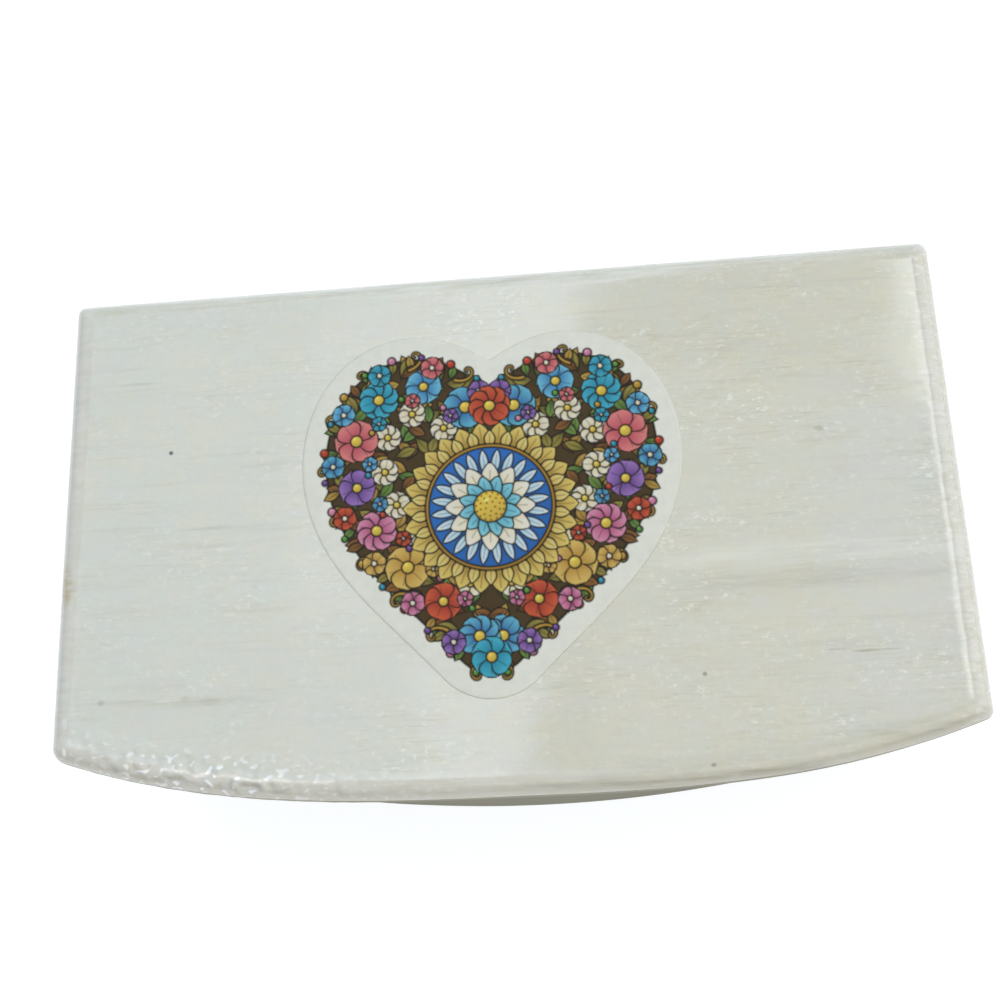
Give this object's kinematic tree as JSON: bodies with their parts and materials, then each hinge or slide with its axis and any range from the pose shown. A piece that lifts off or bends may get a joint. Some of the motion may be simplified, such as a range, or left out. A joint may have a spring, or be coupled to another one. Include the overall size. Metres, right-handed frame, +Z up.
{
  "type": "lidded wooden keepsake box",
  "caption": "Small bow-fronted, whitewashed wooden box, empty inside, with a rounded lift-off lid that carries a heart-shaped printed film.",
  "frame": {"origin": "middle of the underside, on the surface that the box stands on", "axes": "+Z up; X along the box's length; the bowed front faces -Y"},
  "size_m": [0.2, 0.119, 0.0861],
  "materials": {
    "whitewashed_wood": "thin white paint with faint grain and brush streaks, under gloss varnish",
    "printed_film": "glossy white film with a dense many-coloured print and a clear border"
  },
  "bodies": {
    "root": {"lid": "whitewashed_wood", "front_panel": "whitewashed_wood", "back_panel": "whitewashed_wood", "left_side": "whitewashed_wood", "right_side": "whitewashed_wood", "bottom_board": "whitewashed_wood", "heart_decal": "printed_film"}
  },
  "joints": []
}
